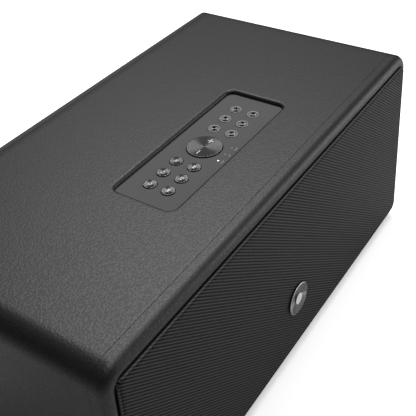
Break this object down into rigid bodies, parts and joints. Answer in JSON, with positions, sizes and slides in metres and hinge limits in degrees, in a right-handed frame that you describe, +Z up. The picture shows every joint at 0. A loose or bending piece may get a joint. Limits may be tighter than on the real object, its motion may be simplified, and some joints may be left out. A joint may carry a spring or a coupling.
{
  "type": "wireless multiroom speaker",
  "caption": "Leather-covered tabletop loudspeaker with a cloth grille, a round metal badge and a sunk top panel of round keys around a volume rocker.",
  "frame": {"origin": "on the floor, below the middle of the whole", "axes": "+X along the width to the right seen from the front, +Y from front to back, +Z up"},
  "size_m": [0.45, 0.2334, 0.195],
  "materials": {
    "fibreboard": "medium-density fibreboard, raw",
    "leather_cloth": "black pebble-grained leather cloth, satin",
    "grille_cloth": "coarse woven speaker cloth, matt black",
    "black_plastic": "moulded, fine texture",
    "spun_aluminium": "spun, dark anodised",
    "panel_metal": "bead-blasted, dark anodised",
    "rubber": "moulded",
    "basket_metal": "cast and painted black",
    "plated_steel": "zinc plated",
    "ferrite": "pressed ferrite",
    "cone_paper": "pressed black paper pulp",
    "coil_copper": "enamelled copper wire",
    "spider_cloth": "phenolic-impregnated cotton",
    "dome_silk": "coated silk",
    "circuit_board": "green solder mask",
    "light_pipe": "clear acrylic",
    "black_screw": "black zinc",
    "heat_sink": "extruded, anodised",
    "capacitor_sleeve": "shrink sleeve",
    "transformer_tape": "yellow tape over ferrite",
    "module_can": "tinned shield",
    "felt": "polyester wadding"
  },
  "bodies": {
    "cabinet": {"amplifier_board": "circuit_board", "aux_jack": "black_plastic", "badge_disc": "spun_aluminium", "board_pillars": "plated_steel", "cabinet_body": "fibreboard", "connection_plate": "black_plastic", "control_board": "circuit_board", "control_plate": "panel_metal", "control_screws": "black_screw", "damping_mat": "felt", "front_baffle": "fibreboard", "grille_cloth": "grille_cloth", "grille_frame": "black_plastic", "grille_sockets": "rubber", "heat_sink": "heat_sink", "leather_front_band": "leather_cloth", "leather_rear_cover": "leather_cloth", "leather_wrap": "leather_cloth", "light_pipes": "light_pipe", "network_socket": "black_plastic", "power_board": "circuit_board", "power_inlet": "black_plastic", "push_switches": "black_plastic", "rear_board": "fibreboard", "reflex_port": "black_plastic", "rocker_bracket": "black_plastic", "rubber_feet": "rubber", "smoothing_capacitors": "capacitor_sleeve", "transformer": "transformer_tape", "tweeter_motor_left": "ferrite", "tweeter_motor_right": "ferrite", "tweeter_plate_left": "black_plastic", "tweeter_plate_right": "black_plastic", "wireless_module": "module_can", "wood_screws": "black_screw", "woofer_basket": "basket_metal", "woofer_magnet": "ferrite", "woofer_spider": "spider_cloth", "woofer_surround": "rubber", "woofer_top_plate": "plated_steel", "woofer_yoke": "plated_steel"},
    "key_pair": {"key_pair": "spun_aluminium"},
    "key_play_pause": {"key_play_pause": "spun_aluminium"},
    "key_power": {"key_power": "spun_aluminium"},
    "key_preset_1": {"key_preset_1": "spun_aluminium"},
    "key_preset_2": {"key_preset_2": "spun_aluminium"},
    "key_preset_3": {"key_preset_3": "spun_aluminium"},
    "key_preset_4": {"key_preset_4": "spun_aluminium"},
    "key_preset_5": {"key_preset_5": "spun_aluminium"},
    "key_preset_6": {"key_preset_6": "spun_aluminium"},
    "key_skip_back": {"key_skip_back": "spun_aluminium"},
    "key_skip_forward": {"key_skip_forward": "spun_aluminium"},
    "key_source": {"key_source": "spun_aluminium"},
    "volume_rocker": {"volume_rocker": "spun_aluminium"},
    "key_reset": {"key_reset": "black_plastic"},
    "woofer_cone": {"woofer_cone": "cone_paper", "woofer_dust_cap": "cone_paper", "woofer_voice_coil": "coil_copper"},
    "tweeter_dome_left": {"tweeter_dome_left": "dome_silk"},
    "tweeter_dome_right": {"tweeter_dome_right": "dome_silk"}
  },
  "joints": [
    {"name": "key_pair_press", "type": "slide", "parent": "cabinet", "child": "key_pair", "axis": [0, 0, -1], "range_m": [0, 0.0006], "stiffness_N_per_m": 2000},
    {"name": "key_play_pause_press", "type": "slide", "parent": "cabinet", "child": "key_play_pause", "axis": [0, 0, -1], "range_m": [0, 0.0006], "stiffness_N_per_m": 2000},
    {"name": "key_power_press", "type": "slide", "parent": "cabinet", "child": "key_power", "axis": [0, 0, -1], "range_m": [0, 0.0006], "stiffness_N_per_m": 2000},
    {"name": "key_preset_1_press", "type": "slide", "parent": "cabinet", "child": "key_preset_1", "axis": [0, 0, -1], "range_m": [0, 0.0006], "stiffness_N_per_m": 2000},
    {"name": "key_preset_2_press", "type": "slide", "parent": "cabinet", "child": "key_preset_2", "axis": [0, 0, -1], "range_m": [0, 0.0006], "stiffness_N_per_m": 2000},
    {"name": "key_preset_3_press", "type": "slide", "parent": "cabinet", "child": "key_preset_3", "axis": [0, 0, -1], "range_m": [0, 0.0006], "stiffness_N_per_m": 2000},
    {"name": "key_preset_4_press", "type": "slide", "parent": "cabinet", "child": "key_preset_4", "axis": [0, 0, -1], "range_m": [0, 0.0006], "stiffness_N_per_m": 2000},
    {"name": "key_preset_5_press", "type": "slide", "parent": "cabinet", "child": "key_preset_5", "axis": [0, 0, -1], "range_m": [0, 0.0006], "stiffness_N_per_m": 2000},
    {"name": "key_preset_6_press", "type": "slide", "parent": "cabinet", "child": "key_preset_6", "axis": [0, 0, -1], "range_m": [0, 0.0006], "stiffness_N_per_m": 2000},
    {"name": "key_skip_back_press", "type": "slide", "parent": "cabinet", "child": "key_skip_back", "axis": [0, 0, -1], "range_m": [0, 0.0006], "stiffness_N_per_m": 2000},
    {"name": "key_skip_forward_press", "type": "slide", "parent": "cabinet", "child": "key_skip_forward", "axis": [0, 0, -1], "range_m": [0, 0.0006], "stiffness_N_per_m": 2000},
    {"name": "key_source_press", "type": "slide", "parent": "cabinet", "child": "key_source", "axis": [0, 0, -1], "range_m": [0, 0.0006], "stiffness_N_per_m": 2000},
    {"name": "volume_rocker_tilt", "type": "hinge", "parent": "cabinet", "child": "volume_rocker", "pos_m": [0, -0.0305, 0.1863], "axis": [0, 1, 0], "range_deg": [-2, 2], "stiffness_Nm_per_rad": 0.9},
    {"name": "key_reset_press", "type": "slide", "parent": "cabinet", "child": "key_reset", "axis": [0, -1, 0], "range_m": [0, 0.0008], "stiffness_N_per_m": 1500},
    {"name": "woofer_cone_stroke", "type": "slide", "parent": "cabinet", "child": "woofer_cone", "axis": [0, -1, 0], "range_m": [-0.004, 0.004], "stiffness_N_per_m": 1800, "deforming": ["woofer_surround", "woofer_spider"]},
    {"name": "tweeter_dome_left_stroke", "type": "slide", "parent": "cabinet", "child": "tweeter_dome_left", "axis": [0, -1, 0], "range_m": [-0.0003, 0.0003], "stiffness_N_per_m": 1500},
    {"name": "tweeter_dome_right_stroke", "type": "slide", "parent": "cabinet", "child": "tweeter_dome_right", "axis": [0, -1, 0], "range_m": [-0.0003, 0.0003], "stiffness_N_per_m": 1500}
  ]
}
